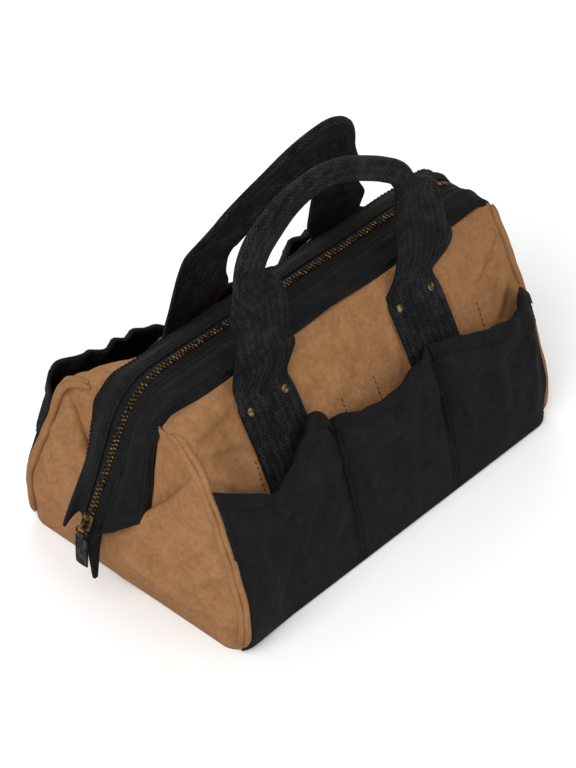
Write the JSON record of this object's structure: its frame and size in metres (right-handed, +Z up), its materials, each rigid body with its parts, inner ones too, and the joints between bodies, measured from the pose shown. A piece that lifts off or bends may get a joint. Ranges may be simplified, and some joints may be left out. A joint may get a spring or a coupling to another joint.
{
  "type": "tool bag",
  "caption": "Wide-mouth canvas tool bag with a zipped sprung-wire mouth, outer and inner pockets, and two webbing handles.",
  "frame": {"origin": "middle of the underside of the flat base, on the floor", "axes": "+Z up; +X along the bag from the end with the zip slider to the far end; -Y is the front, the long side with the taller handle"},
  "size_m": [0.3793, 0.1858, 0.2594],
  "materials": {
    "tan_canvas": "matte",
    "gusset_canvas": "matte",
    "tan_piping": "matte",
    "base_canvas": "matte",
    "base_board": "matte",
    "pocket_canvas": "matte",
    "pocket_binding": "matte",
    "lining": "matte",
    "black_webbing": "matte",
    "mouth_band": "matte",
    "beak_tape": "matte",
    "zip_teeth": "satin",
    "zip_slider": "satin",
    "brass_rivets": "satin",
    "pull_tab": "satin",
    "spring_wire": "satin"
  },
  "bodies": {
    "base": {"base_panel": "base_canvas", "base_board": "base_board", "left_end_panel": "tan_canvas", "right_end_panel": "tan_canvas", "left_pleat": "gusset_canvas", "right_pleat": "gusset_canvas"},
    "pivots": {"left_pivot_pin": "brass_rivets", "right_pivot_pin": "brass_rivets", "left_beak_tab": "beak_tape", "right_beak_tab": "beak_tape"},
    "front_frame": {"front_band": "mouth_band", "front_frame_wire": "spring_wire", "front_zip_chain": "zip_teeth"},
    "back_frame": {"back_band": "mouth_band", "back_frame_wire": "spring_wire", "back_zip_chain": "zip_teeth"},
    "front_wall": {"front_panel": "tan_canvas", "front_left_pocket": "pocket_canvas", "front_middle_pocket": "pocket_canvas", "front_right_pocket": "pocket_canvas", "front_left_binding": "pocket_binding", "front_middle_binding": "pocket_binding", "front_right_binding": "pocket_binding", "front_inner_pocket": "lining", "front_left_welt": "tan_piping", "front_right_welt": "tan_piping", "front_left_gusset": "gusset_canvas", "front_right_gusset": "gusset_canvas", "front_left_strap": "black_webbing", "front_right_strap": "black_webbing", "front_left_rivet_1": "brass_rivets", "front_left_rivet_2": "brass_rivets", "front_right_rivet_1": "brass_rivets", "front_right_rivet_2": "brass_rivets"},
    "back_wall": {"back_panel": "tan_canvas", "back_left_pocket": "pocket_canvas", "back_middle_pocket": "pocket_canvas", "back_right_pocket": "pocket_canvas", "back_left_binding": "pocket_binding", "back_middle_binding": "pocket_binding", "back_right_binding": "pocket_binding", "back_inner_pocket": "lining", "back_left_welt": "tan_piping", "back_right_welt": "tan_piping", "back_left_gusset": "gusset_canvas", "back_right_gusset": "gusset_canvas", "back_left_strap": "black_webbing", "back_right_strap": "black_webbing", "back_left_rivet_1": "brass_rivets", "back_left_rivet_2": "brass_rivets", "back_right_rivet_1": "brass_rivets", "back_right_rivet_2": "brass_rivets"},
    "front_handle": {"front_handle": "black_webbing"},
    "back_handle": {"back_handle": "black_webbing"},
    "slider": {"zip_slider": "zip_slider"},
    "link": {"pull_link": "zip_slider"},
    "tab": {"pull_tab": "pull_tab"}
  },
  "joints": [
    {"name": "pivot_rise", "type": "slide", "parent": "base", "child": "pivots", "axis": [0, 0, 1], "range_m": [0, 0.05338]},
    {"name": "front_mouth_hinge", "type": "hinge", "parent": "pivots", "child": "front_frame", "pos_m": [0, 0, 0.0678], "axis": [1, 0, 0], "range_deg": [0, 45], "deforming": ["front_left_gusset", "front_right_gusset", "back_left_gusset", "back_right_gusset", "left_pleat", "right_pleat"]},
    {"name": "back_mouth_hinge", "type": "hinge", "parent": "pivots", "child": "back_frame", "pos_m": [0, 0, 0.0678], "axis": [-1, 0, 0], "range_deg": [0, 45]},
    {"name": "front_wall_hinge", "type": "hinge", "parent": "base", "child": "front_wall", "pos_m": [0, -0.0915, 0], "axis": [1, 0, 0], "range_deg": [0, 17.69]},
    {"name": "back_wall_hinge", "type": "hinge", "parent": "base", "child": "back_wall", "pos_m": [0, 0.0915, 0], "axis": [-1, 0, 0], "range_deg": [0, 17.69]},
    {"name": "front_handle_hinge", "type": "hinge", "parent": "front_wall", "child": "front_handle", "pos_m": [0, -0.03607, 0.13225], "axis": [1, 0, 0], "range_deg": [-6, 115]},
    {"name": "back_handle_hinge", "type": "hinge", "parent": "back_wall", "child": "back_handle", "pos_m": [0, 0.03607, 0.13225], "axis": [-1, 0, 0], "range_deg": [-6, 115]},
    {"name": "zip_slide", "type": "slide", "parent": "front_frame", "child": "slider", "axis": [0.4431, 0, 0.8965], "range_m": [0, 0.057]},
    {"name": "pull_link_hinge", "type": "hinge", "parent": "slider", "child": "link", "pos_m": [-0.19182, 0, 0.07275], "axis": [0, 1, 0], "range_deg": [0, 45]},
    {"name": "pull_tab_hinge", "type": "hinge", "parent": "link", "child": "tab", "pos_m": [-0.19182, 0, 0.06695], "axis": [0, 1, 0], "range_deg": [0, 135]}
  ],
  "couplings": [
    {"joint": "back_mouth_hinge", "follows": "front_mouth_hinge", "ratio": 1},
    {"joint": "pivot_rise", "follows": "front_mouth_hinge", "m_per_rad": 0.067966},
    {"joint": "front_wall_hinge", "follows": "front_mouth_hinge", "ratio": 0.39309},
    {"joint": "back_wall_hinge", "follows": "front_mouth_hinge", "ratio": 0.39309},
    {"joint": "pull_link_hinge", "follows": "zip_slide", "rad_per_m": 13.779}
  ]
}
